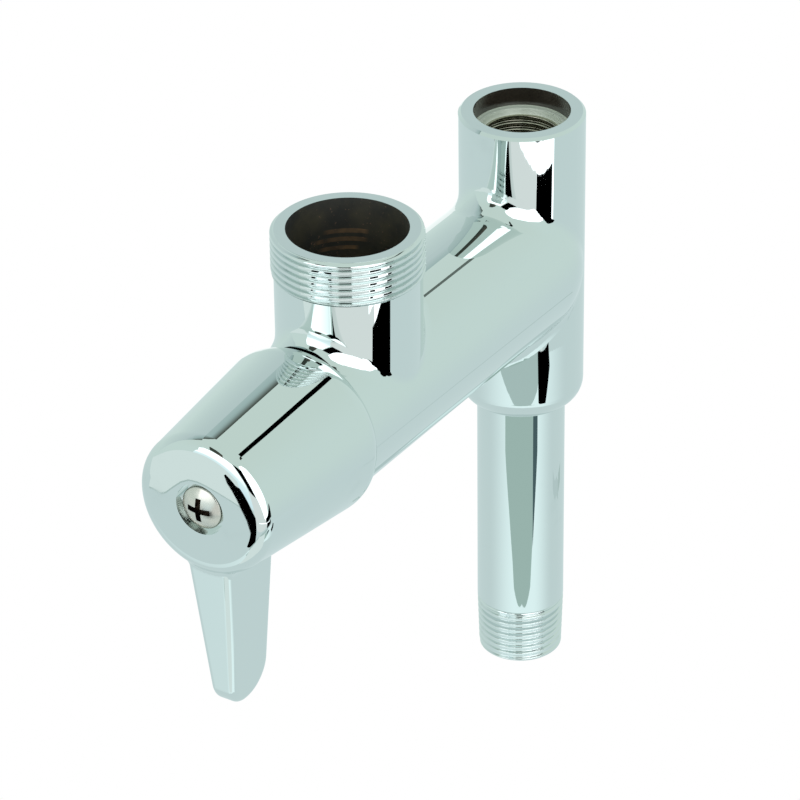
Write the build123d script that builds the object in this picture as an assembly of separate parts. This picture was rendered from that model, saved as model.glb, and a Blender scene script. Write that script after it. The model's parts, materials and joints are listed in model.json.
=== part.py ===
from build123d import *
import math
import os

# Pipe sizes
pipe_d = 17.145
pipe_bore_d = 12.5
pipe_thread_root_d = 15.1
pipe_thread_length = 12.0

# Riser tee of the body
axis_height = 89.2
tee_d = 24.2
tee_rise = 30.7
tee_drop = 31.5
tee_bottom_round = 4.5
tee_top_chamfer = 0.55
socket_recess_d = 18.5
socket_recess_depth = 3.7
socket_ledge_d = 16.0
socket_ledge_drop = 1.1
socket_thread_d = 15.1
socket_thread_length = 10.0
nipple_grip = 12.7

# Barrel and spout outlet of the body
barrel_d = 29.8
ball_end_lead = 6.0
outlet_offset = 60.3
outlet_rise = 33.6
outlet_bore_d = 22.4
outlet_well_depth = 21.0
outlet_port_d = 14.0
outlet_thread_root_d = 26.5
outlet_thread_length = 8.8
outlet_neck_d = 27.0
tee_blend = 4.5
neck_blend = 4.0
passage_d = 10.0

# Cartridge, from its seat forward
seat_lead = 15.0
seal_t = 2.0
seal_side_gap = 0.1
seal_bore_d = 12.8
disc_t = 3.0
disc_d = 17.2
disc_port_outer_r = 6.2
disc_port_inner_r = 2.2
disc_port_rim = 1.0
disc_port_angle = 76.0
disc_key_w = 3.0
disc_key_rise = 0.9
chamber_d = 21.2
housing_lead = 0.7
drive_t = 3.0
drive_tang_depth = 1.5
window_gap = 0.5
window_length = 11.2
window_ring_w = 1.8
window_post_angle = 18.0
window_columns = 4
window_rows = 3
shoulder_web = 0.8
collar_length = 2.8
gasket_t = 0.8
flange_d = 23.4
flange_t = 2.0
nose_d = 13.6
nose_lead = 1.2
nose_stop_t = 2.2
nose_stop_wall = 1.1
housing_ring_section = 1.6
ring_sides = 8

# Bonnet nut
bonnet_thread_d = 23.6
bonnet_thread_length = 5.6
bonnet_hex_af = 24.0
bonnet_hex_t = 5.5
bonnet_hex_gap = 0.5

# Spindle
spindle_d = 8.0
spindle_bore_gap = 0.05
spindle_collar_d = 12.0
spindle_collar_t = 2.0
thrust_t = 0.8
spline_count = 12
spline_depth = 0.45
spline_length_in_handle = 12.2
spindle_ring_section = 1.0
spindle_ring_pitch = 4.0
groove_side_gap = 0.15
screw_tap_depth = 8.0
stop_t = 1.4
clip_t = 0.8
clip_d = 11.0
clip_groove_depth = 0.7
clip_opening_angle = 60.0
turn_angle = 90.0
stop_ear_angle = 40.0
stop_ear_d = 13.2
stop_margin_angle = 1.0
stop_closed_angle = 135.0

# Lever handle
hub_front_d = 27.0
hub_front_round = 3.0
skirt_round = 4.7
skirt_wall = 1.8
skirt_gap = 0.3
skirt_overlap = 6.3
skirt_rim_cut = 1.7
skirt_run_gap = 0.4
hub_wall = 1.9
hub_boss_d = 13.6
hub_face_wall = 5.2
hub_web = 4.5
counterbore_depth = 1.8
counterbore_d = 10.0
screw_hole_d = 4.3
blade_reach = 44.8
blade_root_w = 10.7
blade_tip_w = 4.6
blade_root_depth = 16.6
blade_tip_depth = 10.7
blade_face_setback = 0.1
blade_face_lean = 5.0
blade_edge_round = 1.2
blade_toe_round = 4.5
blade_heel_round = 6.4
blade_root_blend = 2.8

# Handle screw
screw_head_d = 8.3
screw_head_t = 2.5
screw_dome_r = 7.0
screw_rim_round = 0.5
screw_d = 4.0
screw_length = 11.0
screw_recess_w = 1.1
screw_recess_span = 4.6
screw_recess_depth = 1.7

# Clearances
seat_gap = 0.05
fit_gap = 0.1
boss_gap = 0.4
spindle_end_gap = 0.3
stop_side_gap = 0.3

# How far a cut runs past the face it opens
cut_past = 1.0

# Stations forward of the riser's axis
seat_at = outlet_offset - seat_lead
lower_disc_at = seat_at + seal_t
upper_disc_at = lower_disc_at + disc_t
drive_at = upper_disc_at + disc_t
windows_at = drive_at + drive_t + window_gap
windows_end = windows_at + window_length
shoulder_at = windows_end + shoulder_web
step_at = shoulder_at + collar_length
flange_at = step_at + gasket_t
flange_end = flange_at + flange_t
barrel_front = flange_end + bonnet_thread_length
hex_at = barrel_front + bonnet_hex_gap
hex_end = hex_at + bonnet_hex_t
nose_at = hex_end + nose_lead
nose_end = nose_at + nose_stop_t
stop_at = nose_at + fit_gap
clip_at = stop_at + stop_t + seat_gap
boss_at = clip_at + clip_t + boss_gap
spindle_end = boss_at + spline_length_in_handle
face_at = spindle_end + spindle_end_gap + hub_web + counterbore_depth
skirt_at = barrel_front - skirt_overlap
skirt_rim_at = skirt_at + skirt_rim_cut

# Shared radii
barrel_r = barrel_d / 2
tee_r = tee_d / 2
spindle_r = spindle_d / 2
housing_r = chamber_d / 2 - fit_gap
cage_r = disc_d / 2 + fit_gap
skirt_inner_r = barrel_r + skirt_gap
hub_rear_r = skirt_inner_r + skirt_wall
hub_front_r = hub_front_d / 2
spline_root_r = spindle_r - spline_depth

barrel_axis = Axis((0, 0, axis_height), (0, -1, 0))
barrel_plane = Plane(origin=(0, 0, axis_height), x_dir=(0, -1, 0), z_dir=(-1, 0, 0))


def across(distance):
    """Plane square to the barrel, at a distance forward of the riser's axis, facing forward."""
    return Plane(origin=(0, -distance, axis_height), x_dir=(1, 0, 0), z_dir=(0, -1, 0))


def turned(*points):
    """Solid turned about the barrel's axis from (distance forward, radius) points."""
    face = make_face(Polyline(*points, close=True))
    return revolve(barrel_plane * face, barrel_axis, 360)


def sleeve(start, end, outer_r, inner_r=0.0):
    """Plain ring or cylinder on the barrel's axis."""
    return turned((start, inner_r), (end, inner_r), (end, outer_r), (start, outer_r))


def upright(x, y, bottom, top, radius):
    """Upright cylinder between two heights."""
    return Pos(x, y, bottom) * Cylinder(radius, top - bottom, align=(Align.CENTER, Align.CENTER, Align.MIN))


def sector(start, end, outer_r, inner_r, middle_angle, spread):
    """Sector of a ring on the barrel's axis, its middle at an angle seen from the front."""
    steps = [middle_angle - spread / 2, middle_angle, middle_angle + spread / 2]
    outer = [(outer_r * math.cos(math.radians(a)), outer_r * math.sin(math.radians(a))) for a in steps]
    inner = [(inner_r * math.cos(math.radians(a)), inner_r * math.sin(math.radians(a))) for a in steps]
    outline = [
        ThreePointArc(*outer),
        Line(outer[2], inner[2]),
        ThreePointArc(inner[2], inner[1], inner[0]),
        Line(inner[0], outer[0]),
    ]
    return extrude(across(start) * make_face(outline), end - start)


def ring_of(section, distance, mean_r):
    """Ring on the barrel's axis, its round section drawn as a regular polygon to save faces."""
    turn = 180 / ring_sides
    outline = RegularPolygon(section / 2, ring_sides, major_radius=False, rotation=turn)
    return revolve(barrel_plane * Pos(distance, mean_r) * outline, barrel_axis, 360)


def splined(start, end, tip_r, root_r):
    """Splined bar on the barrel's axis, its teeth half as wide as their pitch."""
    bar = sleeve(start, end, root_r)
    pitch = 360 / spline_count
    for index in range(spline_count):
        bar += sector(start, end, tip_r, root_r / 2, index * pitch, pitch / 2)
    return bar


# Body casting
def make_body():
    top = axis_height + tee_rise
    bottom = axis_height - tee_drop
    tee = upright(0, 0, bottom, top, tee_r)
    tee = fillet(tee.faces().sort_by(Axis.Z)[0].edges(), tee_bottom_round)
    tee = chamfer(tee.faces().sort_by(Axis.Z)[-1].edges(), tee_top_chamfer)

    barrel = sleeve(ball_end_lead, barrel_front, barrel_r)
    barrel += Pos(0, -ball_end_lead, axis_height) * Sphere(barrel_r)
    shell = tee + barrel
    shell = fillet(new_edges(tee, barrel, combined=shell), tee_blend)

    outlet_top = axis_height + outlet_rise
    thread_bottom = outlet_top - outlet_thread_length
    neck = upright(0, -outlet_offset, axis_height, thread_bottom, outlet_neck_d / 2)
    joined = shell + neck
    shell = fillet(new_edges(shell, neck, combined=joined), neck_blend)
    shell += upright(0, -outlet_offset, thread_bottom - cut_past, outlet_top, outlet_thread_root_d / 2)

    ledge_top = top - socket_recess_depth
    thread_top = ledge_top - socket_ledge_drop
    thread_end = thread_top - socket_thread_length
    shell -= upright(0, 0, ledge_top, top + cut_past, socket_recess_d / 2)
    ledge = Pos(0, 0, thread_top) * Cone(
        socket_thread_d / 2, socket_ledge_d / 2, socket_ledge_drop,
        align=(Align.CENTER, Align.CENTER, Align.MIN),
    )
    shell -= ledge
    shell -= upright(0, 0, thread_end, ledge_top, socket_thread_d / 2)
    shell -= upright(0, 0, bottom - cut_past, top, pipe_bore_d / 2)
    pipe_socket_r = pipe_thread_root_d / 2 + seat_gap
    shell -= upright(0, 0, bottom - cut_past, bottom + nipple_grip, pipe_socket_r)

    shell -= sleeve(skirt_rim_at - skirt_run_gap, barrel_front + cut_past, barrel_d, barrel_r)
    shell -= sleeve(0, seat_at, passage_d / 2)
    shell -= sleeve(seat_at, step_at, chamber_d / 2)
    shell -= sleeve(step_at, barrel_front + cut_past, bonnet_thread_d / 2)
    shell -= upright(0, -outlet_offset, axis_height, outlet_top, outlet_port_d / 2)
    well_floor = outlet_top - outlet_well_depth
    shell -= upright(0, -outlet_offset, well_floor, outlet_top + cut_past, outlet_bore_d / 2)
    return shell


# Inlet pipe
def make_nipple():
    shoulder = axis_height - tee_drop
    root_r = pipe_thread_root_d / 2
    pipe = upright(0, 0, 0, shoulder + nipple_grip, root_r)
    pipe += upright(0, 0, pipe_thread_length, shoulder, pipe_d / 2)
    return pipe - upright(0, 0, -cut_past, shoulder + nipple_grip + cut_past, pipe_bore_d / 2)


# Lever handle
def hub_radius(distance):
    """Outside radius of the tapered hub at a distance forward of the riser's axis."""
    share = (distance - skirt_at) / (face_at - skirt_at)
    return hub_rear_r + (hub_front_r - hub_rear_r) * share


def make_blade():
    foot = -blade_reach
    toe_at = face_at - blade_face_setback - blade_face_lean
    side = make_face(Polyline(
        (face_at - blade_face_setback, 0),
        (toe_at, foot),
        (toe_at - blade_tip_depth, foot),
        (face_at - blade_root_depth, 0),
        close=True,
    ))
    toe = side.vertices().group_by(Axis.Y)[0].sort_by(Axis.X)[-1]
    side = fillet(toe, blade_toe_round)
    heel = side.vertices().group_by(Axis.Y)[0].sort_by(Axis.X)[0]
    side = fillet(heel, blade_heel_round)
    slab = extrude(barrel_plane * side, hub_front_r, both=True)
    front = make_face(Polyline(
        (-blade_root_w / 2, 0),
        (-blade_tip_w / 2, foot),
        (blade_tip_w / 2, foot),
        (blade_root_w / 2, 0),
        close=True,
    ))
    wedge = extrude(across(skirt_at) * front, face_at - skirt_at)
    blade = slab & wedge
    corners = blade.edges().filter_by(lambda edge: edge.length > blade_reach / 2)
    return fillet(corners, blade_edge_round)


def make_hub():
    outline = make_face(Polyline(
        (skirt_at, 0),
        (skirt_at, hub_rear_r),
        (face_at, hub_front_r),
        (face_at, 0),
        close=True,
    ))
    rear_corner = outline.vertices().sort_by(Axis.Y)[-1]
    outline = fillet(rear_corner, skirt_round)
    front_corner = outline.vertices().group_by(Axis.X)[-1].sort_by(Axis.Y)[-1]
    outline = fillet(front_corner, hub_front_round)
    outline -= Pos(skirt_at, 0) * Rectangle(skirt_rim_cut, 2 * hub_rear_r, align=(Align.MIN, Align.MIN))
    return revolve(barrel_plane * outline, barrel_axis, 360)


def make_handle():
    hub = make_hub()
    blade = make_blade()
    shell = hub + blade
    shell = fillet(new_edges(hub, blade, combined=shell), blade_root_blend)
    cavity_end = face_at - hub_face_wall
    cavity_front_r = hub_radius(cavity_end) - hub_wall
    shell -= turned(
        (skirt_at, 0),
        (skirt_at, skirt_inner_r),
        (hex_end, skirt_inner_r),
        (cavity_end, cavity_front_r),
        (cavity_end, hub_boss_d / 2),
        (boss_at, hub_boss_d / 2),
        (boss_at, 0),
    )
    socket_end = spindle_end + fit_gap
    shell -= splined(boss_at - cut_past, socket_end, spindle_r + seat_gap, spline_root_r + seat_gap)
    shell -= sleeve(spindle_end, face_at, screw_hole_d / 2)
    return shell - sleeve(face_at - counterbore_depth, face_at + cut_past, counterbore_d / 2)


# Handle screw
def make_screw():
    floor = face_at - counterbore_depth
    head_r = screw_head_d / 2
    crown = floor + screw_head_t
    blank = make_face(Polyline((floor, 0), (floor, head_r), (crown, head_r), (crown, 0), close=True))
    head = blank & Pos(crown - screw_dome_r, 0) * Circle(screw_dome_r)
    rim_corner = head.vertices().sort_by(Axis.Y)[-2:].sort_by(Axis.X)[-1]
    head = fillet(rim_corner, screw_rim_round)
    screw = revolve(barrel_plane * head, barrel_axis, 360)
    screw += sleeve(floor - screw_length, floor, screw_d / 2 - seat_gap)
    cross = Rectangle(screw_recess_span, screw_recess_w) + Rectangle(screw_recess_w, screw_recess_span)
    recess = extrude(across(crown) * cross, -screw_recess_depth)
    return screw - recess


# Cartridge housing
def disc_ports(start, end, middle_angle):
    """Two opposite ports through a disc or flange."""
    port = sector(start, end, disc_port_outer_r, disc_port_inner_r, middle_angle, disc_port_angle)
    return port + port.rotate(barrel_axis, 180)


def key_angle(gap=0.0):
    """Angle that a disc's key, or its slot with a gap each side, takes up at the disc's rim."""
    return math.degrees((disc_key_w + 2 * gap) / (disc_d / 2))


def make_housing():
    rear = seat_at + housing_lead
    nose_r = nose_d / 2
    housing = sleeve(rear, flange_at, housing_r)
    housing += sleeve(flange_at, flange_end, flange_d / 2)
    housing += sleeve(flange_end, nose_end, nose_r)
    housing -= sleeve(rear - cut_past, shoulder_at, cage_r)
    housing -= sleeve(shoulder_at - cut_past, nose_at + cut_past, spindle_r + spindle_bore_gap)
    housing -= sleeve(nose_at, nose_end + cut_past, nose_r - nose_stop_wall)

    swing = turn_angle + stop_ear_angle + 2 * stop_margin_angle
    swing_middle = stop_closed_angle + turn_angle / 2
    housing -= sector(nose_at, nose_end + cut_past, nose_r + cut_past, spindle_r, swing_middle, swing)

    key_r = disc_d / 2 + disc_key_rise + fit_gap
    for angle in (90, 270):
        housing -= sector(rear - cut_past, upper_disc_at, key_r, spindle_r, angle, key_angle(fit_gap))

    row_length = (window_length - (window_rows - 1) * window_ring_w) / window_rows
    column_pitch = 360 / window_columns
    for row in range(window_rows):
        row_at = windows_at + row * (row_length + window_ring_w)
        for column in range(window_columns):
            angle = 90 + column * column_pitch
            spread = column_pitch - window_post_angle
            row_end = row_at + row_length
            housing -= sector(row_at, row_end, housing_r + cut_past, spindle_r, angle, spread)

    groove_middle = (shoulder_at + flange_at) / 2
    groove_half = housing_ring_section / 2 + groove_side_gap
    groove_floor_r = chamber_d / 2 - housing_ring_section
    groove_outer_r = housing_r + cut_past
    groove = sleeve(groove_middle - groove_half, groove_middle + groove_half, groove_outer_r, groove_floor_r)
    return housing - groove


def make_housing_ring():
    mean_r = chamber_d / 2 - housing_ring_section / 2
    return ring_of(housing_ring_section, (shoulder_at + flange_at) / 2, mean_r)


# Ceramic discs and seat seal
def make_lower_disc():
    disc = sleeve(lower_disc_at, upper_disc_at, disc_d / 2)
    for angle in (90, 270):
        key_r = disc_d / 2 + disc_key_rise
        root_r = disc_port_outer_r + disc_port_rim
        disc += sector(lower_disc_at, upper_disc_at, key_r, root_r, angle, key_angle())
    return disc - disc_ports(lower_disc_at, upper_disc_at, 0)


def drive_tangs(start, end, gap):
    """Two tangs at the rim, midway between the upper disc's ports."""
    outer = disc_d / 2 + cut_past
    inner = disc_port_outer_r + disc_port_rim - gap
    spread = key_angle(gap)
    return sector(start, end, outer, inner, 0, spread) + sector(start, end, outer, inner, 180, spread)


def make_upper_disc():
    start = upper_disc_at + seat_gap
    disc = sleeve(start, drive_at, disc_d / 2) - disc_ports(start, drive_at, 90)
    return disc - drive_tangs(drive_at - drive_tang_depth, drive_at, fit_gap)


def make_seat_seal():
    return sleeve(seat_at, lower_disc_at, disc_d / 2 - seal_side_gap, seal_bore_d / 2)


# Spindle and the rings on it
def spindle_ring_stations():
    """Middle of each ring groove on the spindle."""
    first = step_at + spindle_ring_section
    return first, first + spindle_ring_pitch


def make_spindle():
    collar_end = shoulder_at - thrust_t - seat_gap
    flange_r = disc_d / 2 - fit_gap
    tangs = drive_tangs(drive_at - drive_tang_depth + fit_gap, drive_at, 0)
    spindle = tangs & sleeve(drive_at - drive_t, drive_at, flange_r)
    spindle += sleeve(drive_at, drive_at + drive_t, flange_r)
    spindle -= disc_ports(drive_at, drive_at + drive_t, 90)
    spindle += sleeve(drive_at + drive_t, stop_at, spindle_r)
    spindle += sleeve(collar_end - spindle_collar_t, collar_end, spindle_collar_d / 2)
    spindle += splined(stop_at, spindle_end, spindle_r, spline_root_r)
    half = spindle_ring_section / 2 + groove_side_gap
    floor_r = spindle_r - spindle_ring_section
    for station in spindle_ring_stations():
        spindle -= sleeve(station - half, station + half, spindle_d, floor_r)
    clip_groove_end = clip_at + clip_t + seat_gap
    spindle -= sleeve(clip_at, clip_groove_end, spindle_d, spindle_r - clip_groove_depth)
    return spindle - sleeve(spindle_end - screw_tap_depth, spindle_end + cut_past, screw_d / 2)


def make_thrust_washer():
    return sleeve(shoulder_at - thrust_t, shoulder_at, spindle_collar_d / 2, spindle_r + fit_gap)


def make_stop_washer():
    end = stop_at + stop_t
    base_r = nose_d / 2 - nose_stop_wall - stop_side_gap
    washer = sleeve(stop_at, end, base_r)
    washer += sector(stop_at, end, stop_ear_d / 2, spindle_r, stop_closed_angle, stop_ear_angle)
    bore_r = spindle_r + seat_gap
    return washer - splined(stop_at - cut_past, end + cut_past, bore_r, spline_root_r + seat_gap)


def make_spindle_clip():
    ring = sleeve(clip_at, clip_at + clip_t, clip_d / 2, spindle_r - clip_groove_depth + seat_gap)
    return ring - sector(clip_at, clip_at + clip_t, clip_d, spline_root_r / 2, 270, clip_opening_angle)


def make_spindle_ring(index):
    mean_r = spindle_r - spindle_ring_section / 2
    return ring_of(spindle_ring_section, spindle_ring_stations()[index], mean_r)


# Bonnet nut and its gasket
def make_bonnet_nut():
    nose_bore_r = nose_d / 2 + fit_gap
    hexagon = RegularPolygon(bonnet_hex_af / 2, 6, major_radius=False)
    head = extrude(across(hex_at) * hexagon, bonnet_hex_t)
    corner_r = bonnet_hex_af / math.sqrt(3)
    bevel = corner_r - bonnet_hex_af / 2
    head = head & turned(
        (hex_at, 0),
        (hex_at, corner_r),
        (hex_end - bevel / 2, corner_r),
        (hex_end, corner_r - bevel),
        (hex_end, 0),
    )
    nut = head + sleeve(flange_end, hex_at + cut_past, bonnet_thread_d / 2 - seat_gap)
    return nut - sleeve(flange_end - cut_past, hex_end + cut_past, nose_bore_r)


def make_bonnet_gasket():
    return sleeve(step_at, flange_at, flange_d / 2, chamber_d / 2)


parts = {
    "body": make_body(),
    "inlet_nipple": make_nipple(),
    "lever_handle": make_handle(),
    "handle_screw": make_screw(),
    "cartridge_housing": make_housing(),
    "housing_o_ring": make_housing_ring(),
    "lower_disc": make_lower_disc(),
    "upper_disc": make_upper_disc(),
    "seat_seal": make_seat_seal(),
    "spindle": make_spindle(),
    "spindle_o_ring_rear": make_spindle_ring(0),
    "spindle_o_ring_front": make_spindle_ring(1),
    "thrust_washer": make_thrust_washer(),
    "stop_washer": make_stop_washer(),
    "spindle_clip": make_spindle_clip(),
    "bonnet_nut": make_bonnet_nut(),
    "bonnet_gasket": make_bonnet_gasket(),
}

os.makedirs("parts", exist_ok=True)
for name, shape in parts.items():
    export_step(shape, "parts/" + name + ".step")
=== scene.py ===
import json
import math

import bmesh
import bpy
from mathutils import Matrix, Vector


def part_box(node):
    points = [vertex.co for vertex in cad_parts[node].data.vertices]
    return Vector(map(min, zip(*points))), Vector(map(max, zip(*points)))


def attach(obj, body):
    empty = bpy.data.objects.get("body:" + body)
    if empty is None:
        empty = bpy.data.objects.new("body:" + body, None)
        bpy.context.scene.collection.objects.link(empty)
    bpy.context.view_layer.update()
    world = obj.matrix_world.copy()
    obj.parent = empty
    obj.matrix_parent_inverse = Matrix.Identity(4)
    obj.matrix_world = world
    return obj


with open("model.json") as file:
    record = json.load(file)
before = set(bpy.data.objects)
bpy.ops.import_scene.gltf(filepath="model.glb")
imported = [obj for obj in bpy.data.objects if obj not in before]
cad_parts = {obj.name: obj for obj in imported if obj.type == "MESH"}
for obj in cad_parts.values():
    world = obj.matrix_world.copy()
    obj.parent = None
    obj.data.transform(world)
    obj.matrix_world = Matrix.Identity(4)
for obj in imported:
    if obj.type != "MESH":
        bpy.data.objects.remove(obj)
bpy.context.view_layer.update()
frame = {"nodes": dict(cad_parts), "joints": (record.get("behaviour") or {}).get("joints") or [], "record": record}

MM = 0.001
SCENE = bpy.context.scene
BODY = "faucet_body"
MOUNTS = {mount["name"]: mount for mount in frame["record"]["mounts"]}
OUTLET = Vector(MOUNTS["outlet_bore"]["pos_m"])
SOCKET = Vector(MOUNTS["riser_socket"]["pos_m"])
BARREL_AXIS = Vector(frame["joints"][0]["pos_m"])
PIPE_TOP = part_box("inlet_nipple")[1].z
PIPE_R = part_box("inlet_nipple")[1].x
SCREW_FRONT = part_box("handle_screw")[0].y


def mount_size(mount, size):
    """One size of a mount, in metres."""
    return MOUNTS[mount]["dims"][size] * MM


# Node maths written as formulas
class Number:
    """A number in a node tree, which sums and compares like a plain one."""

    def __init__(self, tree, socket):
        self.tree = tree
        self.socket = socket

    def calculate(self, operation, *others):
        node = self.tree.nodes.new("ShaderNodeMath")
        node.operation = operation
        for value, slot in zip((self, *others), node.inputs):
            feed(value, slot)
        return Number(self.tree, node.outputs[0])

    def __add__(self, other):
        return self.calculate("ADD", other)

    def __sub__(self, other):
        return self.calculate("SUBTRACT", other)

    def __mul__(self, other):
        return self.calculate("MULTIPLY", other)

    def __truediv__(self, other):
        return self.calculate("DIVIDE", other)

    def __lt__(self, other):
        return self.calculate("LESS_THAN", other)

    def __gt__(self, other):
        return self.calculate("GREATER_THAN", other)

    def minimum(self, other):
        return self.calculate("MINIMUM", other)

    def maximum(self, other):
        return self.calculate("MAXIMUM", other)

    def inverted(self):
        """One minus the number, for a share between 0 and 1."""
        return self * -1.0 + 1.0

    def ramp(self, low, high, out_low=0.0, out_high=1.0, smooth=False):
        """Maps low..high to out_low..out_high, held at the ends."""
        node = self.tree.nodes.new("ShaderNodeMapRange")
        node.interpolation_type = "SMOOTHSTEP" if smooth else "LINEAR"
        node.clamp = True
        for value, slot in zip((self, low, high, out_low, out_high), node.inputs):
            feed(value, slot)
        return Number(self.tree, node.outputs[0])


def feed(value, slot):
    """Puts a number, a colour or another node's output into an input."""
    if isinstance(value, Number):
        value.tree.links.new(value.socket, slot)
    elif isinstance(value, bpy.types.NodeSocket):
        slot.id_data.links.new(value, slot)
    else:
        slot.default_value = value


def three_numbers(tree, vector):
    """The X, Y and Z of a vector output."""
    parts = tree.nodes.new("ShaderNodeSeparateXYZ")
    feed(vector, parts.inputs[0])
    return [Number(tree, parts.outputs[axis]) for axis in "XYZ"]


def blend_colours(tree, factor, first, second):
    """The first colour at factor 0 and the second at factor 1."""
    node = tree.nodes.new("ShaderNodeMix")
    node.data_type = "RGBA"
    feed(factor, node.inputs["Factor"])
    feed(first, node.inputs["A"])
    feed(second, node.inputs["B"])
    return node.outputs["Result"]


# Finishes
CHROME = (0.745, 0.800, 0.790, 1.0)
CHROME_WORN = (0.690, 0.745, 0.735, 1.0)
MIRROR_ROUGHNESS = 0.012
SMEAR_ROUGHNESS = 0.06
SKIN = 0.06 * MM

# The outlet's bore: painted shade, flecks, and ribs painted as lit bars, given by depth and by reach to either
# side, in mm
BORE_SHADE_DARK = (0.012, 0.012, 0.008, 1.0)
BORE_SHADE_BROWN = (0.075, 0.058, 0.026, 1.0)
BORE_FLECK = (0.30, 0.17, 0.11, 1.0)
BORE_ROUGHNESS = 0.55
BORE_RIBS = [(6.3, 7.2, -3.7, 2.8), (8.0, 8.9, -5.3, 2.6), (9.8, 10.6, -4.8, 1.0)]
RIB_LIT_BROWN = (0.26, 0.13, 0.05, 1.0)
RIB_FADE = 1.0 * MM
RIB_TURN = math.radians(32.45)
MOTTLE_SCALE = 160.0
FLECK_SCALE = 1500.0

# The tee's mouth: a dark wall over a bright turned ledge, and dull metal under the ledge
RECESS_R = 9.25 * MM
LEDGE_TOP = SOCKET.z + 1.1 * MM
TEE_TOP = LEDGE_TOP + 3.7 * MM
WALL_DARK = (0.016, 0.010, 0.008, 1.0)
WALL_BROWN = (0.040, 0.026, 0.018, 1.0)
WALL_ROUGHNESS = 0.22
WALL_IOR = 1.9
LEDGE_PALE = (0.95, 0.97, 0.87, 1.0)
LEDGE_LINE = (0.66, 0.69, 0.58, 1.0)
LEDGE_ROUGHNESS = 0.4
LEDGE_METAL = 0.15
LEDGE_LINES = 9000.0
LEDGE_PATCHES = 30.0
UNDER_LEDGE = (0.10, 0.10, 0.08, 1.0)

# The screw's head: a low dome with a cross recess, with painted shade down in the recess
SCREW_DOME_R = 7.0 * MM
SCREW_RECESS_REACH = 2.8 * MM
SCREW_RECESS_SHADE = (0.12, 0.095, 0.075, 1.0)

# Machined metals: plain tone, worn tone, roughness, and how close the turned lines lie
METAL_TONE_SCALE = 220.0
METAL_LINE_LENGTH_SCALE = 20.0
METAL_LINE_DEPTH = 0.004 * MM
CUT_METALS = {
    "socket_metal": ((0.34, 0.33, 0.26, 1.0), (0.52, 0.50, 0.40, 1.0), 0.18, 20.0),
    "housing_brass": ((0.50, 0.33, 0.15, 1.0), (0.62, 0.44, 0.22, 1.0), 0.22, 900.0),
    "nut_brass": ((0.58, 0.41, 0.19, 1.0), (0.68, 0.51, 0.27, 1.0), 0.20, 900.0),
    "spindle_brass": ((0.62, 0.45, 0.22, 1.0), (0.72, 0.56, 0.31, 1.0), 0.17, 1200.0),
    "washer_steel": ((0.55, 0.55, 0.53, 1.0), (0.66, 0.66, 0.64, 1.0), 0.28, 200.0),
    "clip_steel": ((0.30, 0.30, 0.31, 1.0), (0.42, 0.42, 0.43, 1.0), 0.32, 200.0),
}
# Moulded and fired pieces: tone, shade, roughness, grain's scale and depth in mm, and coat
MOULDED = {
    "lapped_ceramic": ((0.86, 0.84, 0.79, 1.0), (0.92, 0.91, 0.87, 1.0), 0.16, 900.0, 0.001, 0.3),
    "seal_rubber": ((0.014, 0.014, 0.015, 1.0), (0.030, 0.030, 0.032, 1.0), 0.50, 1400.0, 0.01, 0.0),
    "acetal": ((0.80, 0.79, 0.74, 1.0), (0.87, 0.86, 0.82, 1.0), 0.38, 700.0, 0.004, 0.0),
    "red_fibre": ((0.33, 0.09, 0.05, 1.0), (0.46, 0.15, 0.09, 1.0), 0.75, 1800.0, 0.02, 0.0),
}
NODE_FINISHES = {
    "body": "body_chromium",
    "inlet_nipple": "pipe_chromium",
    "lever_handle": "handle_chromium",
    "handle_screw": "screw_steel",
    "cartridge_housing": "housing_brass",
    "bonnet_nut": "nut_brass",
    "spindle": "spindle_brass",
    "stop_washer": "washer_steel",
    "spindle_clip": "clip_steel",
    "thrust_washer": "acetal",
    "bonnet_gasket": "red_fibre",
    "upper_disc": "lapped_ceramic",
    "lower_disc": "lapped_ceramic",
    "seat_seal": "seal_rubber",
    "housing_o_ring": "seal_rubber",
    "spindle_o_ring_rear": "seal_rubber",
    "spindle_o_ring_front": "seal_rubber",
}


def opened(material):
    """A material's tree and its shader."""
    return material.node_tree, material.node_tree.nodes["Principled BSDF"]


def new_material(name):
    """A fresh node material."""
    material = bpy.data.materials.new(name)
    material.use_nodes = True
    return material


def object_point(tree):
    """Object coordinates in metres."""
    return tree.nodes.new("ShaderNodeTexCoord").outputs["Object"]


def fed_by(slot):
    """The output that feeds an input now."""
    return slot.links[0].from_socket


def stretched(tree, source, scale):
    """The point scaled by its own factor along each axis."""
    mapping = tree.nodes.new("ShaderNodeMapping")
    feed(source, mapping.inputs["Vector"])
    feed(scale, mapping.inputs["Scale"])
    return mapping.outputs[0]


def noise(tree, source, scale, detail=2.0, roughness=0.5):
    """Cloudy noise between 0 and 1."""
    node = tree.nodes.new("ShaderNodeTexNoise")
    feed(source, node.inputs["Vector"])
    feed(scale, node.inputs["Scale"])
    feed(detail, node.inputs["Detail"])
    feed(roughness, node.inputs["Roughness"])
    return Number(tree, node.outputs["Fac"])


def relief(tree, shader, height, depth):
    """Bump of a real depth in metres."""
    node = tree.nodes.new("ShaderNodeBump")
    feed(depth, node.inputs["Distance"])
    feed(height, node.inputs["Height"])
    feed(node.outputs[0], shader.inputs["Normal"])


def plated(name, ripple_scale, ripple_depth, smear_scale):
    """Bright chromium: a mirror with the faint unevenness of the polished metal under it."""
    material = new_material(name)
    tree, shader = opened(material)
    source = object_point(tree)
    feed(1.0, shader.inputs["Metallic"])
    smears = noise(tree, source, smear_scale, detail=4.0, roughness=0.6).ramp(0.58, 0.78, smooth=True)
    feed(smears.ramp(0.0, 1.0, MIRROR_ROUGHNESS, SMEAR_ROUGHNESS), shader.inputs["Roughness"])
    feed(blend_colours(tree, smears, CHROME, CHROME_WORN), shader.inputs["Base Color"])
    relief(tree, shader, noise(tree, source, ripple_scale, detail=1.0), ripple_depth * MM)
    return material


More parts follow.
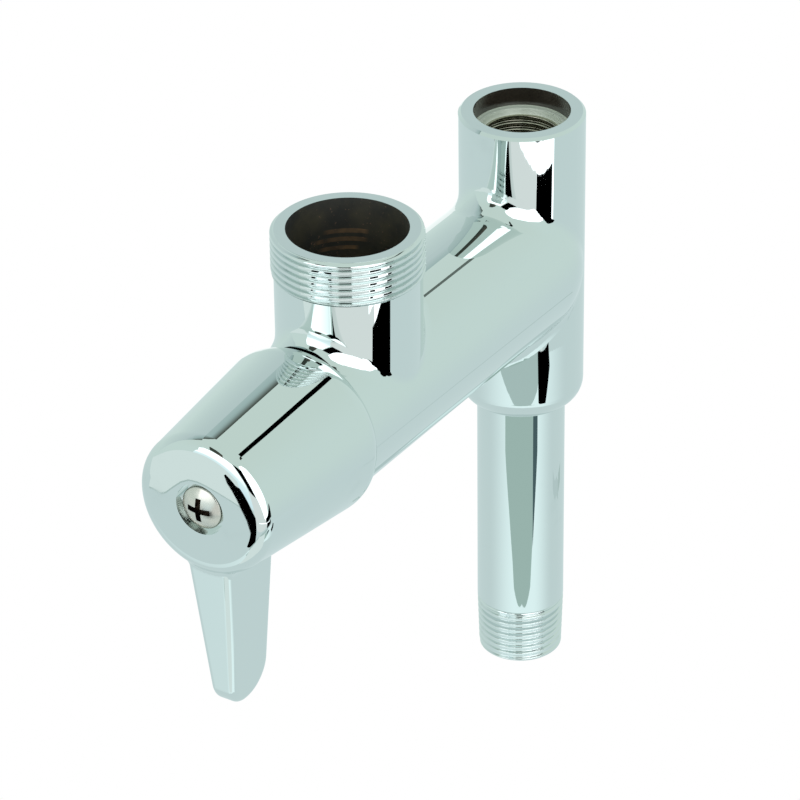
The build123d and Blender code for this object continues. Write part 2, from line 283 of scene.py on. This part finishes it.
def distance_from(centre, x, y):
    """How far a point lies from an upright axis."""
    return ((x - centre.x) * (x - centre.x) + (y - centre.y) * (y - centre.y)).calculate("SQRT")


def painted_bore_shade(tree, source, mottle, x, y, z):
    """Painted shade, mottled dark to dark brown, with flecks, and painted light on the ribs that show dimly on the
    bore's wall.
    """
    bore_tone = blend_colours(tree, mottle.ramp(0.4, 0.75), BORE_SHADE_DARK, BORE_SHADE_BROWN)
    flecks = noise(tree, source, FLECK_SCALE, detail=3.0, roughness=0.7).ramp(0.64, 0.72)
    bore_tone = blend_colours(tree, flecks, bore_tone, BORE_FLECK)
    sideways = (x - OUTLET.x) * math.cos(RIB_TURN) + (y - OUTLET.y) * math.sin(RIB_TURN)
    for top, bottom, left, right in BORE_RIBS:
        rib = (z > OUTLET.z - bottom * MM) * (z < OUTLET.z - top * MM)
        rib = rib * sideways.ramp(left * MM - RIB_FADE, left * MM)
        rib = rib * sideways.ramp(right * MM, right * MM + RIB_FADE, 1.0, 0.0)
        # Painted light on the ribs: lighter brown bars on the shaded wall
        bore_tone = blend_colours(tree, rib * mottle.ramp(0.3, 0.6), bore_tone, RIB_LIT_BROWN)
    return bore_tone


def turned_ledge(tree, source, from_axis):
    """Pale metal with fine turned rings, stronger in some places than in others."""
    lines = (from_axis * LEDGE_LINES).calculate("SINE").ramp(-1.0, 1.0)
    return blend_colours(tree, lines * noise(tree, source, LEDGE_PATCHES), LEDGE_PALE, LEDGE_LINE)


def plated_body():
    """Chromium outside, painted shade down in the outlet's bore, and a dark mouth with a bright ledge in the tee.
    """
    material = plated("body_chromium", 60.0, 0.012, 45.0)
    tree, shader = opened(material)
    source = object_point(tree)
    x, y, z = three_numbers(tree, source)
    from_outlet = distance_from(OUTLET, x, y)
    from_tee = distance_from(SOCKET, x, y)

    bore_r = mount_size("outlet_bore", "r_mm")
    bore = (from_outlet < bore_r + SKIN) * (z < OUTLET.z - SKIN) * (z > BARREL_AXIS.z)
    mouth = (from_tee < RECESS_R + SKIN) * (z < TEE_TOP - SKIN) * (z > PIPE_TOP)
    wall = mouth * (z > LEDGE_TOP + SKIN)
    ledge = mouth * (z < LEDGE_TOP + SKIN) * (z > SOCKET.z - SKIN)
    below = mouth * (z < SOCKET.z - SKIN)

    mottle = noise(tree, source, MOTTLE_SCALE, detail=4.0, roughness=0.6)
    tone = fed_by(shader.inputs["Base Color"])
    tone = blend_colours(tree, wall, tone, blend_colours(tree, mottle, WALL_DARK, WALL_BROWN))
    tone = blend_colours(tree, ledge, tone, turned_ledge(tree, source, from_tee))
    tone = blend_colours(tree, below, tone, UNDER_LEDGE)
    # Painted shade down in the outlet's bore, over all else there
    tone = blend_colours(tree, bore, tone, painted_bore_shade(tree, source, mottle, x, y, z))
    feed(tone, shader.inputs["Base Color"])

    rough = Number(tree, fed_by(shader.inputs["Roughness"]))
    rough = rough.maximum(wall * WALL_ROUGHNESS).maximum(ledge * LEDGE_ROUGHNESS)
    feed(rough.maximum((bore + below) * BORE_ROUGHNESS), shader.inputs["Roughness"])
    metal = (bore + wall).ramp(0.0, 1.0, 1.0, 0.0) - ledge * (1.0 - LEDGE_METAL)
    feed(metal, shader.inputs["Metallic"])
    feed(WALL_IOR, shader.inputs["IOR"])
    return material


def cut_metal(name, plain, worn, roughness, line_scale):
    """Machined metal: fine turned lines and a slight change of tone."""
    material = new_material(name)
    tree, shader = opened(material)
    source = object_point(tree)
    feed(1.0, shader.inputs["Metallic"])
    tone = noise(tree, source, METAL_TONE_SCALE, detail=4.0, roughness=0.6)
    feed(blend_colours(tree, tone, plain, worn), shader.inputs["Base Color"])
    feed(tone.ramp(0.3, 0.7, roughness * 0.8, roughness * 1.25), shader.inputs["Roughness"])
    scale = (METAL_LINE_LENGTH_SCALE, line_scale, METAL_LINE_LENGTH_SCALE)
    relief(tree, shader, noise(tree, stretched(tree, source, scale), 1.0), METAL_LINE_DEPTH)
    return material


def driven_steel():
    """Satin stainless steel, with painted shade down in the screw's cross recess."""
    material = cut_metal("screw_steel", (0.62, 0.60, 0.54, 1.0), (0.74, 0.72, 0.66, 1.0), 0.24, 60.0)
    tree, shader = opened(material)
    x, y, z = three_numbers(tree, object_point(tree))
    height = z - BARREL_AXIS.z
    square = x * x + height * height
    under_dome = y - SCREW_FRONT - square / (SCREW_DOME_R * 2.0)
    recess = under_dome.ramp(SKIN, SKIN * 4.0) * (square < SCREW_RECESS_REACH ** 2)
    tone = fed_by(shader.inputs["Base Color"])
    # Painted shade down in the cross recess
    feed(blend_colours(tree, recess, tone, SCREW_RECESS_SHADE), shader.inputs["Base Color"])
    return material


def moulded(name, plain, shade, roughness, grain_scale, grain_depth, coat):
    """Rubber, plastic, fibre or ceramic with a fine grain."""
    material = new_material(name)
    tree, shader = opened(material)
    grain = noise(tree, object_point(tree), grain_scale, detail=4.0, roughness=0.65)
    feed(blend_colours(tree, grain, plain, shade), shader.inputs["Base Color"])
    feed(grain.ramp(0.2, 0.8, roughness * 0.85, roughness * 1.15), shader.inputs["Roughness"])
    feed(coat, shader.inputs["Coat Weight"])
    relief(tree, shader, grain, grain_depth * MM)
    return material


def make_finishes():
    """Every finish by its name. The plated ones give ripple scale, ripple depth in mm and smear scale."""
    finishes = {
        "body_chromium": plated_body(),
        "pipe_chromium": plated("pipe_chromium", 90.0, 0.006, 70.0),
        "handle_chromium": plated("handle_chromium", 45.0, 0.012, 40.0),
        "thread_chromium": plated("thread_chromium", 300.0, 0.004, 300.0),
        "screw_steel": driven_steel(),
    }
    finishes.update({name: cut_metal(name, *recipe) for name, recipe in CUT_METALS.items()})
    finishes.update({name: moulded(name, *recipe) for name, recipe in MOULDED.items()})
    return finishes


def finish_solids(finishes):
    """Gives every solid of the frame its finish."""
    for node, finish in NODE_FINISHES.items():
        for slot in frame["nodes"][node].material_slots:
            slot.material = finishes[finish]


# Threads, all made by one geometry tree
THREAD_INPUTS = {
    "Centre": "NodeSocketVector",
    "Bottom": "NodeSocketFloat",
    "Length": "NodeSocketFloat",
    "Pitch": "NodeSocketFloat",
    "Root radius": "NodeSocketFloat",
    "Crest radius at the bottom": "NodeSocketFloat",
    "Crest radius at the top": "NodeSocketFloat",
    "Buried radius": "NodeSocketFloat",
    "End round": "NodeSocketFloat",
    "Crest share": "NodeSocketFloat",
    "Flank share": "NodeSocketFloat",
    "Fade at the top": "NodeSocketFloat",
    "Fade at the bottom": "NodeSocketFloat",
    "Columns": "NodeSocketInt",
    "Rows": "NodeSocketInt",
    "Material": "NodeSocketMaterial",
}
THREAD_SHARP_ANGLE = math.radians(50.0)
WELD = 0.001 * MM
HAIR = 0.02 * MM
PIPE_PITCH = 25.4 / 18 * MM


def open_thread_tree():
    """An empty geometry tree with its inputs, and those inputs as numbers."""
    tree = bpy.data.node_groups.new("cut thread", "GeometryNodeTree")
    for name, kind in THREAD_INPUTS.items():
        tree.interface.new_socket(name, in_out="INPUT", socket_type=kind)
    tree.interface.new_socket("Geometry", in_out="OUTPUT", socket_type="NodeSocketGeometry")
    given = tree.nodes.new("NodeGroupInput").outputs
    return tree, {name: Number(tree, given[name]) for name in THREAD_INPUTS}


def thread_face(number, turn, height, share):
    """Radius of a right-hand thread's face, rounded at its ends, where the groove fades out."""
    wave = (height / number["Pitch"] - turn).calculate("PINGPONG", 0.5) * 2.0
    crest_from = number["Crest share"].inverted()
    ridge = wave.ramp(crest_from - number["Flank share"], crest_from, smooth=True)

    rise = number["Crest radius at the top"] - number["Crest radius at the bottom"]
    to_top = number["Length"] - height
    rounding = height.minimum(to_top).ramp(0.0, number["End round"], 1.0, 0.0)
    crest = share * rise + number["Crest radius at the bottom"]
    crest = crest - rounding * rounding * number["End round"]

    fade = to_top.ramp(0.0, number["Fade at the top"]) * height.ramp(0.0, number["Fade at the bottom"])
    return crest - (crest - number["Root radius"]) * ridge.inverted() * fade


def wrap_grid(tree, number):
    """A flat grid bent into a closed ring: its first row and last two rows lie behind the face."""
    grid = tree.nodes.new("GeometryNodeMeshGrid")
    feed(1.0, grid.inputs["Size X"])
    feed(1.0, grid.inputs["Size Y"])
    feed(number["Columns"], grid.inputs["Vertices X"])
    feed(number["Rows"], grid.inputs["Vertices Y"])
    across, along, _ = three_numbers(tree, tree.nodes.new("GeometryNodeInputPosition").outputs[0])

    turn = across + 0.5
    last_row = number["Rows"] - 1.0
    row = (along + 0.5) * last_row
    share = row.ramp(1.0, last_row - 2.0)
    back_at_start = row > (last_row - 0.5)
    height = share * number["Length"] * back_at_start.inverted()
    buried = (row < 0.5).maximum(row > (last_row - 1.5))
    face = thread_face(number, turn, height, share)
    radius = face * buried.inverted() + number["Buried radius"] * buried

    angle = turn * math.tau
    spot = tree.nodes.new("ShaderNodeCombineXYZ")
    feed(angle.calculate("COSINE") * radius, spot.inputs["X"])
    feed(angle.calculate("SINE") * radius, spot.inputs["Y"])
    feed(height + number["Bottom"], spot.inputs["Z"])
    moved = tree.nodes.new("ShaderNodeVectorMath")
    feed(spot.outputs[0], moved.inputs[0])
    feed(number["Centre"], moved.inputs[1])
    wrap = tree.nodes.new("GeometryNodeSetPosition")
    feed(grid.outputs["Mesh"], wrap.inputs["Geometry"])
    feed(moved.outputs[0], wrap.inputs["Position"])
    return wrap.outputs[0]


def thread_tree():
    """The whole tree: the wrapped grid, welded where it meets itself, with its material."""
    tree, number = open_thread_tree()
    weld = tree.nodes.new("GeometryNodeMergeByDistance")
    feed(wrap_grid(tree, number), weld.inputs["Geometry"])
    feed(WELD, weld.inputs["Distance"])
    real = tree.nodes.new("GeometryNodeRealizeInstances")
    feed(weld.outputs[0], real.inputs["Geometry"])
    paint = tree.nodes.new("GeometryNodeSetMaterial")
    feed(real.outputs[0], paint.inputs["Geometry"])
    feed(number["Material"], paint.inputs["Material"])
    feed(paint.outputs[0], tree.nodes.new("NodeGroupOutput").inputs[0])
    return tree


def thread_mesh(name, tree, sizes):
    """Runs the tree with these sizes and returns the result as a plain mesh."""
    maker = bpy.data.objects.new(name + "_maker", bpy.data.meshes.new(name + "_maker"))
    SCENE.collection.objects.link(maker)
    modifier = maker.modifiers.new("thread", "NODES")
    modifier.node_group = tree
    sockets = {item.name: item.identifier for item in tree.interface.items_tree if item.in_out == "INPUT"}
    for key, value in sizes.items():
        modifier[sockets[key.replace("_", " ").capitalize()]] = value
    bpy.context.view_layer.update()
    evaluated = maker.evaluated_get(bpy.context.evaluated_depsgraph_get())
    mesh = bpy.data.meshes.new_from_object(evaluated)
    bpy.data.objects.remove(maker)
    return mesh


def make_thread(name, tree, slot, **sizes):
    """A thread as a plain mesh on the body, with its faces turned outwards."""
    mesh = thread_mesh(name, tree, sizes)
    work = bmesh.new()
    work.from_mesh(mesh)
    bmesh.ops.recalc_face_normals(work, faces=work.faces)
    work.to_mesh(mesh)
    work.free()
    mesh.shade_smooth()
    mesh.set_sharp_from_angle(angle=THREAD_SHARP_ANGLE)
    thread = bpy.data.objects.new(name, mesh)
    SCENE.collection.objects.link(thread)
    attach(thread, BODY)


def outlet_thread(tree, finishes):
    """The spout's thread round the outlet."""
    root = mount_size("outlet_thread", "r_mm")
    length = mount_size("outlet_thread", "length_mm")
    make_thread(
        "outlet_thread", tree, "chrome_plate",
        centre=(OUTLET.x, OUTLET.y, 0.0),
        bottom=OUTLET.z - length,
        length=length - HAIR,
        pitch=1.32 * MM,
        root_radius=root + HAIR,
        crest_radius_at_the_bottom=14.0 * MM,
        crest_radius_at_the_top=14.0 * MM,
        buried_radius=root - 0.5 * MM,
        end_round=0.7 * MM,
        crest_share=0.34,
        flank_share=0.50,
        fade_at_the_top=0.2 * MM,
        fade_at_the_bottom=0.2 * MM,
        columns=193,
        rows=170,
        material=finishes["thread_chromium"],
    )


def nipple_thread(tree, finishes):
    """The pipe's taper thread, which runs out at its top."""
    root = mount_size("inlet_thread", "r_mm")
    make_thread(
        "nipple_thread", tree, "chrome_pipe",
        centre=(0.0, 0.0, 0.0),
        bottom=HAIR,
        length=mount_size("inlet_thread", "length_mm") - HAIR,
        pitch=PIPE_PITCH,
        root_radius=root + 0.25 * MM,
        crest_radius_at_the_bottom=8.2 * MM,
        crest_radius_at_the_top=PIPE_R,
        buried_radius=root - 0.4 * MM,
        end_round=0.6 * MM,
        crest_share=0.25,
        flank_share=0.55,
        fade_at_the_top=2.0 * MM,
        fade_at_the_bottom=0.2 * MM,
        columns=145,
        rows=200,
        material=finishes["thread_chromium"],
    )


def riser_socket_thread(tree, finishes):
    """The thread inside the tee's mouth, for the riser."""
    wall = mount_size("riser_socket", "r_mm")
    length = mount_size("riser_socket", "length_mm")
    make_thread(
        "riser_socket_thread", tree, "chrome_plate",
        centre=(SOCKET.x, SOCKET.y, 0.0),
        bottom=SOCKET.z - length + HAIR,
        length=length - HAIR,
        pitch=PIPE_PITCH,
        root_radius=wall - HAIR,
        crest_radius_at_the_bottom=6.9 * MM,
        crest_radius_at_the_top=7.05 * MM,
        buried_radius=wall + 0.4 * MM,
        end_round=HAIR,
        crest_share=0.2,
        flank_share=0.6,
        fade_at_the_top=0.2 * MM,
        fade_at_the_bottom=0.2 * MM,
        columns=145,
        rows=170,
        material=finishes["socket_metal"],
    )


# Camera, solved from the photograph
CAMERA_LENS = 206.804
CAMERA_SENSOR = 36.0
CAMERA_NEAR = 0.05
CAMERA_FAR = 20.0
CAMERA_PLACE = (0.398623, -0.661925, 0.515964)
CAMERA_RIGHT = (0.843806, 0.536543, -0.010601)
CAMERA_UP = (-0.26662, 0.436286, 0.8594)
CAMERA_BACK = (0.46573, -0.722341, 0.511194)


def place_camera():
    """The camera at the photograph's angle, with plain colours."""
    lens = bpy.data.cameras.new("camera")
    lens.lens = CAMERA_LENS
    lens.sensor_width = CAMERA_SENSOR
    lens.clip_start = CAMERA_NEAR
    lens.clip_end = CAMERA_FAR
    camera = bpy.data.objects.new("camera", lens)
    SCENE.collection.objects.link(camera)
    turn = Matrix((CAMERA_RIGHT, CAMERA_UP, CAMERA_BACK)).transposed().to_4x4()
    camera.matrix_world = Matrix.Translation(CAMERA_PLACE) @ turn
    SCENE.camera = camera
    SCENE.view_settings.view_transform = "Standard"


# Studio tones
WHITE = (1.0, 1.0, 1.0)
BLACK = (0.0, 0.0, 0.0)
FLOOR_TONE = (0.655, 0.77, 0.775)
WALL_TONE = (0.69, 0.82, 0.785)
ROOF_TONE = (0.67, 0.79, 0.74)
SOFTBOX = (1.9, 1.95, 2.0)
SOFTBOX_EDGE = (0.95, 1.12, 1.14)
SKY = (0.78, 0.98, 1.06)
BACKDROP = (1.0, 1.06, 1.05)
PAPER = (0.80, 0.90, 0.885)
GREY = (0.82, 0.87, 0.86)
HAZE = (0.57, 0.68, 0.68)
FAINT = (0.565, 0.68, 0.68)
STONE = (0.48, 0.61, 0.59)
EDGE = (0.46, 0.58, 0.56)
GREY_GREEN = (0.42, 0.56, 0.52)
SLATE = (0.41, 0.54, 0.53)
SLATE_DARK = (0.08, 0.13, 0.14)
COAL = (0.14, 0.17, 0.155)
BROWN = (0.20, 0.15, 0.12)
SMOKE = (0.05, 0.06, 0.05)

# Azimuths and elevations are in degrees, and reaches, levels, x and y in mm from the pipe's axis and foot
STUDIO_CENTRE = Vector((0.0, -0.05, 0.1))
WALL_DISTANCE = 0.75
FAR_WALL_DISTANCE = 1.6

# The softboxes' image in the shiny table, by azimuth and low edge
SOFTBOX_IMAGE = [(27, -498), (34, -503), (41, -508), (48, -512), (56, -515), (59, -517)]
SOFTBOX_IMAGE_TOP = -470
SOFTBOX_IMAGE_REACH = 1200
SOFTBOX_IMAGE_RIGHT = [
    (58.5, -205), (63, -205), (67, -206), (68, -240), (74, -240), (80, -240), (86, -240), (91, -240),
]
SOFTBOX_IMAGE_RIGHT_TOP = -178
SOFTBOX_IMAGE_RIGHT_REACH = 600

# Shade overhead: where it starts, by azimuth and elevation, and how it fades downwards
ROOF_ARC = [(-160, 48), (-145, 56), (-130, 61), (-110, 64), (-90, 63), (-75, 58), (-66, 50)]
ROOF_FADE = [(0, SMOKE), (3, COAL), (10, SLATE), (20, HAZE), (60, WALL_TONE)]

# Black card at the right, by azimuth, low edge and high edge, and its image in the shiny table
CARD_REACH = 300
BLACK_CARD = [(54, -30, 0), (65, -30, 10), (75, -30, 25), (85, -30, 55), (94, -30, 75)]
BLACK_CARD_IMAGE = [
    (58.5, -74, -40), (61, -80, -40.5), (68, -80, -40.5), (77, -80, -39.5), (85, -80, -38.5),
    (87.5, -80, -38),
]
BLACK_CARD_IMAGE_LOW = [(62, 116), (62, 140), (82, 142), (84, 131), (75, 115)]

# Shade on the table in front of the pipe: azimuth, and the levels where its lower and upper parts end
TABLE_SHADE = [
    (-10, -129, -97), (-2, -143, -102), (4, -153, -105), (10, -163, -107.5), (14, -172, -109),
    (20, -175.5, -110.5), (35, -177, -111.5), (50, -176, -110.5), (57, -172, -108), (61, -161, -106),
    (65, -150, -101), (68, -140, -98),
]
TABLE_SHADE_TOP = -113
TABLE_SHADE_HIGH_TOP = -84
TABLE_SHADE_EDGE = [(63, -159), (66, -151), (71, -139), (75, -128)]
TABLE_SHADE_EDGE_TOP = -112

# The table is brighter round the pipe: by how much, and the azimuths where the glow starts and is full
TABLE_GLOW_GAIN = 0.42
TABLE_GLOW_LEFT = (-62, 20)
TABLE_GLOW_RIGHT = (124, 62)
TABLE_GLOW_STEP = 6
TABLE_GLOW_LOW = -260
TABLE_GLOW_TOP = -106
TABLE_GLOW_REACH = 320

# Pale papers and a dark foot on the table, seen in the lever's face, by x and y
LEVER_PAPER = [(-10, -150), (20, -140), (60, -125), (110, -150), (60, -196), (-10, -196)]
PAPER_EDGE = [
    (-500, -226), (-96.7, -226.1), (-94, -225.3), (-93.4, -226.2), (-93.3, -228.6), (-93, -231.2),
    (-92, -232.7), (-90, -233), (-87.5, -232.6), (-84.3, -231.7), (-80.1, -230.5), (-72, -228),
]
PAPER_FRONT = [(-72, -600), (-500, -600)]
PAPER_LINE = 0.4
FOOT_EDGE = [
    (-86.5, -238), (-84.1, -235.6), (-81.4, -233.5), (-78.2, -230.8), (-75.1, -228), (-72, -225.3),
    (-66, -219),
]
FOOT_BACK = [(-20, -204), (20, -200), (40, -300), (-70, -330)]
CARD_LIFT = 0.1
UPPER_CARD_LIFT = 0.2
TOP_CARD_LIFT = 0.3
FLOOR_DROP = 0.05 * MM
FLOOR_REACH = 4.0


def toward(azimuth, elevation):
    """Unit vector at an azimuth from the front, turning to the right, and an elevation, in degrees."""
    across, rise = math.radians(azimuth), math.radians(elevation)
    return Vector((
        math.sin(across) * math.cos(rise), -math.cos(across) * math.cos(rise), math.sin(rise),
    ))


def glow_material(name):
    """An empty glowing material: its tree and the glow."""
    material = new_material(name)
    tree = material.node_tree
    tree.nodes.clear()
    glow = tree.nodes.new("ShaderNodeEmission")
    feed(glow.outputs[0], tree.nodes.new("ShaderNodeOutputMaterial").inputs["Surface"])
    return material, tree, glow


def card_light():
    """Glow in the tone that a card's corners carry."""
    material, tree, glow = glow_material("card_light")
    tone = tree.nodes.new("ShaderNodeAttribute")
    tone.attribute_name = "tone"
    feed(tone.outputs["Color"], glow.inputs["Color"])
    return material


CARD_LIGHT = card_light()


def card(name, corners, tones):
    """A card or light panel that shows only in reflections, each corner with its own tone."""
    mesh = bpy.data.meshes.new(name)
    mesh.from_pydata(corners, [], [range(len(corners))])
    tone_layer = mesh.color_attributes.new("tone", "FLOAT_COLOR", "POINT")
    for entry, tone in zip(tone_layer.data, tones):
        entry.color = (*tone, 1.0)
    mesh.materials.append(CARD_LIGHT)
    obj = bpy.data.objects.new(name, mesh)
    SCENE.collection.objects.link(obj)
    obj.visible_camera = False
    obj.visible_shadow = False
    obj.visible_diffuse = False


def in_tone(tone, spots):
    """The same tone for every spot."""
    return [(*spot, tone) for spot in spots]


def wall_card(name, spots, distance=WALL_DISTANCE):
    """A card given by azimuth, elevation and tone, seen from the middle of the object."""
    corners = [STUDIO_CENTRE + toward(azimuth, elevation) * distance for azimuth, elevation, _ in spots]
    card(name, corners, [tone for _, _, tone in spots])


def floor_card(name, spots, lift=CARD_LIFT):
    """A card lying just over the floor, given by x, y and tone."""
    corners = [(x * MM, y * MM, lift * MM) for x, y, _ in spots]
    card(name, corners, [tone for _, _, tone in spots])


def upright_cards(name, reach, columns):
    """A row of upright cards round the pipe, each column with azimuth, low edge, high edge and tone."""
    sides = []
    for azimuth, low, high, tone in columns:
        foot = toward(azimuth, 0.0) * reach * MM
        sides.append((foot + Vector((0.0, 0.0, low * MM)), foot + Vector((0.0, 0.0, high * MM)), tone))
    for index, (start, end) in enumerate(zip(sides, sides[1:])):
        corners = [start[0], end[0], end[1], start[1]]
        card(f"{name}_{index}", corners, [start[2], end[2], end[2], start[2]])


def light_panels():
    """The softboxes at the left and right, and the pale backdrop behind."""
    wall_card("left_softbox", [
        (-30, 0, SOFTBOX_EDGE), (18, 0, SOFTBOX_EDGE), (19, 8, SOFTBOX), (14, 34, SOFTBOX),
        (-28, 32, SOFTBOX), (-30, 8, SOFTBOX),
    ])
    wall_card("left_glow", [
        (-30, -20, SKY), (8, -20, SKY), (18, 0, SOFTBOX_EDGE), (-30, 0, SOFTBOX_EDGE),
    ])
    wall_card("right_softbox_low", in_tone(SOFTBOX, [(50, -4), (62, -20), (74, -26), (86, -14), (92, 6)]))
    wall_card("right_softbox", in_tone(SOFTBOX, [
        (50, -4), (92, 6), (88, 30), (78, 50), (58, 53), (38, 46), (36, 22), (40, 8),
    ]))
    wall_card("backdrop", in_tone(BACKDROP, [
        (-152, -31), (-136, -31), (-133, -2), (-144, -8), (-152, -20),
    ]))
    upright_cards("softbox_image", SOFTBOX_IMAGE_REACH, [
        (azimuth, low, SOFTBOX_IMAGE_TOP, SOFTBOX) for azimuth, low in SOFTBOX_IMAGE
    ])
    upright_cards("softbox_image_right", SOFTBOX_IMAGE_RIGHT_REACH, [
        (azimuth, low, SOFTBOX_IMAGE_RIGHT_TOP, SOFTBOX) for azimuth, low in SOFTBOX_IMAGE_RIGHT
    ])


def gaps_between_panels():
    """The grey gap under the softboxes, the dark one between them, and the dark rig over the front."""
    wall_card("grey_gap", in_tone(GREY, [
        (2, -30.4), (76, -30.4), (76, -26.5), (62, -20), (50, -4), (40, 8), (18, 0),
    ]), distance=FAR_WALL_DISTANCE)
    wall_card("camera_gap", in_tone(BLACK, [(22, 2), (41, 2), (36, 22), (37, 38), (16, 37), (19, 20)]))
    wall_card("front_rig", [
        (-27, 53, SMOKE), (-20, 37, SMOKE), (0, 34, BROWN), (0, 47, SMOKE), (-10, 52, SMOKE),
    ])


def roof_shade():
    """The dark lines overhead that run along the barrel and the handle."""
    wall_card("roof_line", [
        (112, 63, SMOKE), (140, 57.5, BLACK), (168, 51.5, BLACK), (168, 47.5, BLACK), (140, 53.5, BLACK),
        (112, 60, SMOKE),
    ])
    wall_card("barrel_line", in_tone(COAL, [(172.6, 40), (176.0, 40), (176.0, 47), (172.6, 47)]))
    for index, ((left, left_edge), (right, right_edge)) in enumerate(zip(ROOF_ARC, ROOF_ARC[1:])):
        for band, ((upper, upper_tone), (lower, lower_tone)) in enumerate(zip(ROOF_FADE, ROOF_FADE[1:])):
            wall_card(f"roof_arc_{index}_{band}", [
                (left, left_edge - upper, upper_tone), (right, right_edge - upper, upper_tone),
                (right, right_edge - lower, lower_tone), (left, left_edge - lower, lower_tone),
            ])


def black_card_at_right():
    """The black card, and its image in the shiny table."""
    upright_cards("black_card", CARD_REACH, in_tone(BLACK, BLACK_CARD))
    upright_cards("black_card_image", CARD_REACH, in_tone(BLACK, BLACK_CARD_IMAGE))
    spots = [toward(azimuth, 0.0) * reach for azimuth, reach in BLACK_CARD_IMAGE_LOW]
    floor_card("black_card_image_low", in_tone(BLACK, [(spot.x, spot.y) for spot in spots]))


def eased(value, start, full):
    """A smooth step from 0 at the start to 1 where it is full."""
    share = min(max((value - start) / (full - start), 0.0), 1.0)
    return share * share * (3.0 - 2.0 * share)


def table_glow():
    """The brighter table round the pipe, whose glow dies away to both sides."""
    columns = []
    for azimuth in range(TABLE_GLOW_LEFT[0], TABLE_GLOW_RIGHT[0] + 1, TABLE_GLOW_STEP):
        gain = 1.0 + TABLE_GLOW_GAIN * eased(azimuth, *TABLE_GLOW_LEFT) * eased(azimuth, *TABLE_GLOW_RIGHT)
        columns.append((azimuth, TABLE_GLOW_LOW, TABLE_GLOW_TOP, [value * gain for value in FLOOR_TONE]))
    upright_cards("table_glow", TABLE_GLOW_REACH, columns)


def table_shade():
    """The far edge of the table and the shade on it in front of the pipe."""
    wall_card("table_far_edge", [
        (129, -33.8, FAINT), (143, -33.7, FAINT), (160, -33.1, EDGE),
        (160, -33.6, EDGE), (143, -34.2, FAINT), (129, -34.3, FAINT),
    ])
    upright_cards("table_shade", CARD_REACH, [
        (azimuth, low, TABLE_SHADE_TOP, GREY_GREEN) for azimuth, low, _ in TABLE_SHADE
    ])
    upright_cards("table_shade_high", CARD_REACH + 1, [
        (azimuth, low, TABLE_SHADE_HIGH_TOP, STONE) for azimuth, _, low in TABLE_SHADE
    ])
    upright_cards("table_shade_edge", CARD_REACH - 1, [
        (azimuth, low, TABLE_SHADE_EDGE_TOP, SLATE_DARK) for azimuth, low in TABLE_SHADE_EDGE
    ])


def table_papers():
    """Pale papers with a thin dark edge, and the dark foot of the front rig."""
    floor_card("lever_glow", in_tone(PAPER, LEVER_PAPER), lift=UPPER_CARD_LIFT)
    floor_card("front_rig_foot", in_tone(BLACK, FOOT_EDGE + FOOT_BACK), lift=TOP_CARD_LIFT)
    floor_card("front_paper", in_tone(PAPER, PAPER_EDGE + PAPER_FRONT))
    outer_edge = [(x + PAPER_LINE, y + PAPER_LINE) for x, y in reversed(PAPER_EDGE)]
    floor_card("front_paper_edge", in_tone(EDGE, PAPER_EDGE + outer_edge), lift=UPPER_CARD_LIFT)


def white_to_camera(tree, tone):
    """Plain white where the camera looks straight at it, and its own tone elsewhere."""
    seen = tree.nodes.new("ShaderNodeLightPath").outputs["Is Camera Ray"]
    return blend_colours(tree, seen, tone, (*WHITE, 1.0))


def pale_floor():
    """The table, which stays out of mirror reflections, where the cards stand for it."""
    material, tree, glow = glow_material("pale_floor")
    feed(white_to_camera(tree, (*FLOOR_TONE, 1.0)), glow.inputs["Color"])
    signs = [(-1, -1), (1, -1), (1, 1), (-1, 1)]
    corners = [(x * FLOOR_REACH, y * FLOOR_REACH, -FLOOR_DROP) for x, y in signs]
    mesh = bpy.data.meshes.new("floor")
    mesh.from_pydata(corners, [], [range(len(corners))])
    mesh.materials.append(material)
    floor = bpy.data.objects.new("floor", mesh)
    SCENE.collection.objects.link(floor)
    floor.visible_glossy = False


def pale_tent():
    """Soft light from all round, in the tones of the floor, the walls and the roof."""
    world = bpy.data.worlds.new("studio")
    SCENE.world = world
    world.use_nodes = True
    tree = world.node_tree
    tree.nodes.clear()
    rise = three_numbers(tree, tree.nodes.new("ShaderNodeTexCoord").outputs["Generated"])[2]
    to_walls = rise.ramp(-0.6, 0.0, smooth=True)
    to_roof = rise.ramp(0.2, 0.9, smooth=True)
    tone = blend_colours(tree, to_walls, (*FLOOR_TONE, 1.0), (*WALL_TONE, 1.0))
    tone = blend_colours(tree, to_roof, tone, (*ROOF_TONE, 1.0))
    background = tree.nodes.new("ShaderNodeBackground")
    feed(white_to_camera(tree, tone), background.inputs["Color"])
    feed(background.outputs[0], tree.nodes.new("ShaderNodeOutputWorld").inputs["Surface"])


FINISHES = make_finishes()
finish_solids(FINISHES)

THREAD = thread_tree()
outlet_thread(THREAD, FINISHES)
nipple_thread(THREAD, FINISHES)
riser_socket_thread(THREAD, FINISHES)

place_camera()
light_panels()
gaps_between_panels()
roof_shade()
black_card_at_right()
table_shade()
table_glow()
table_papers()
pale_floor()
pale_tent()
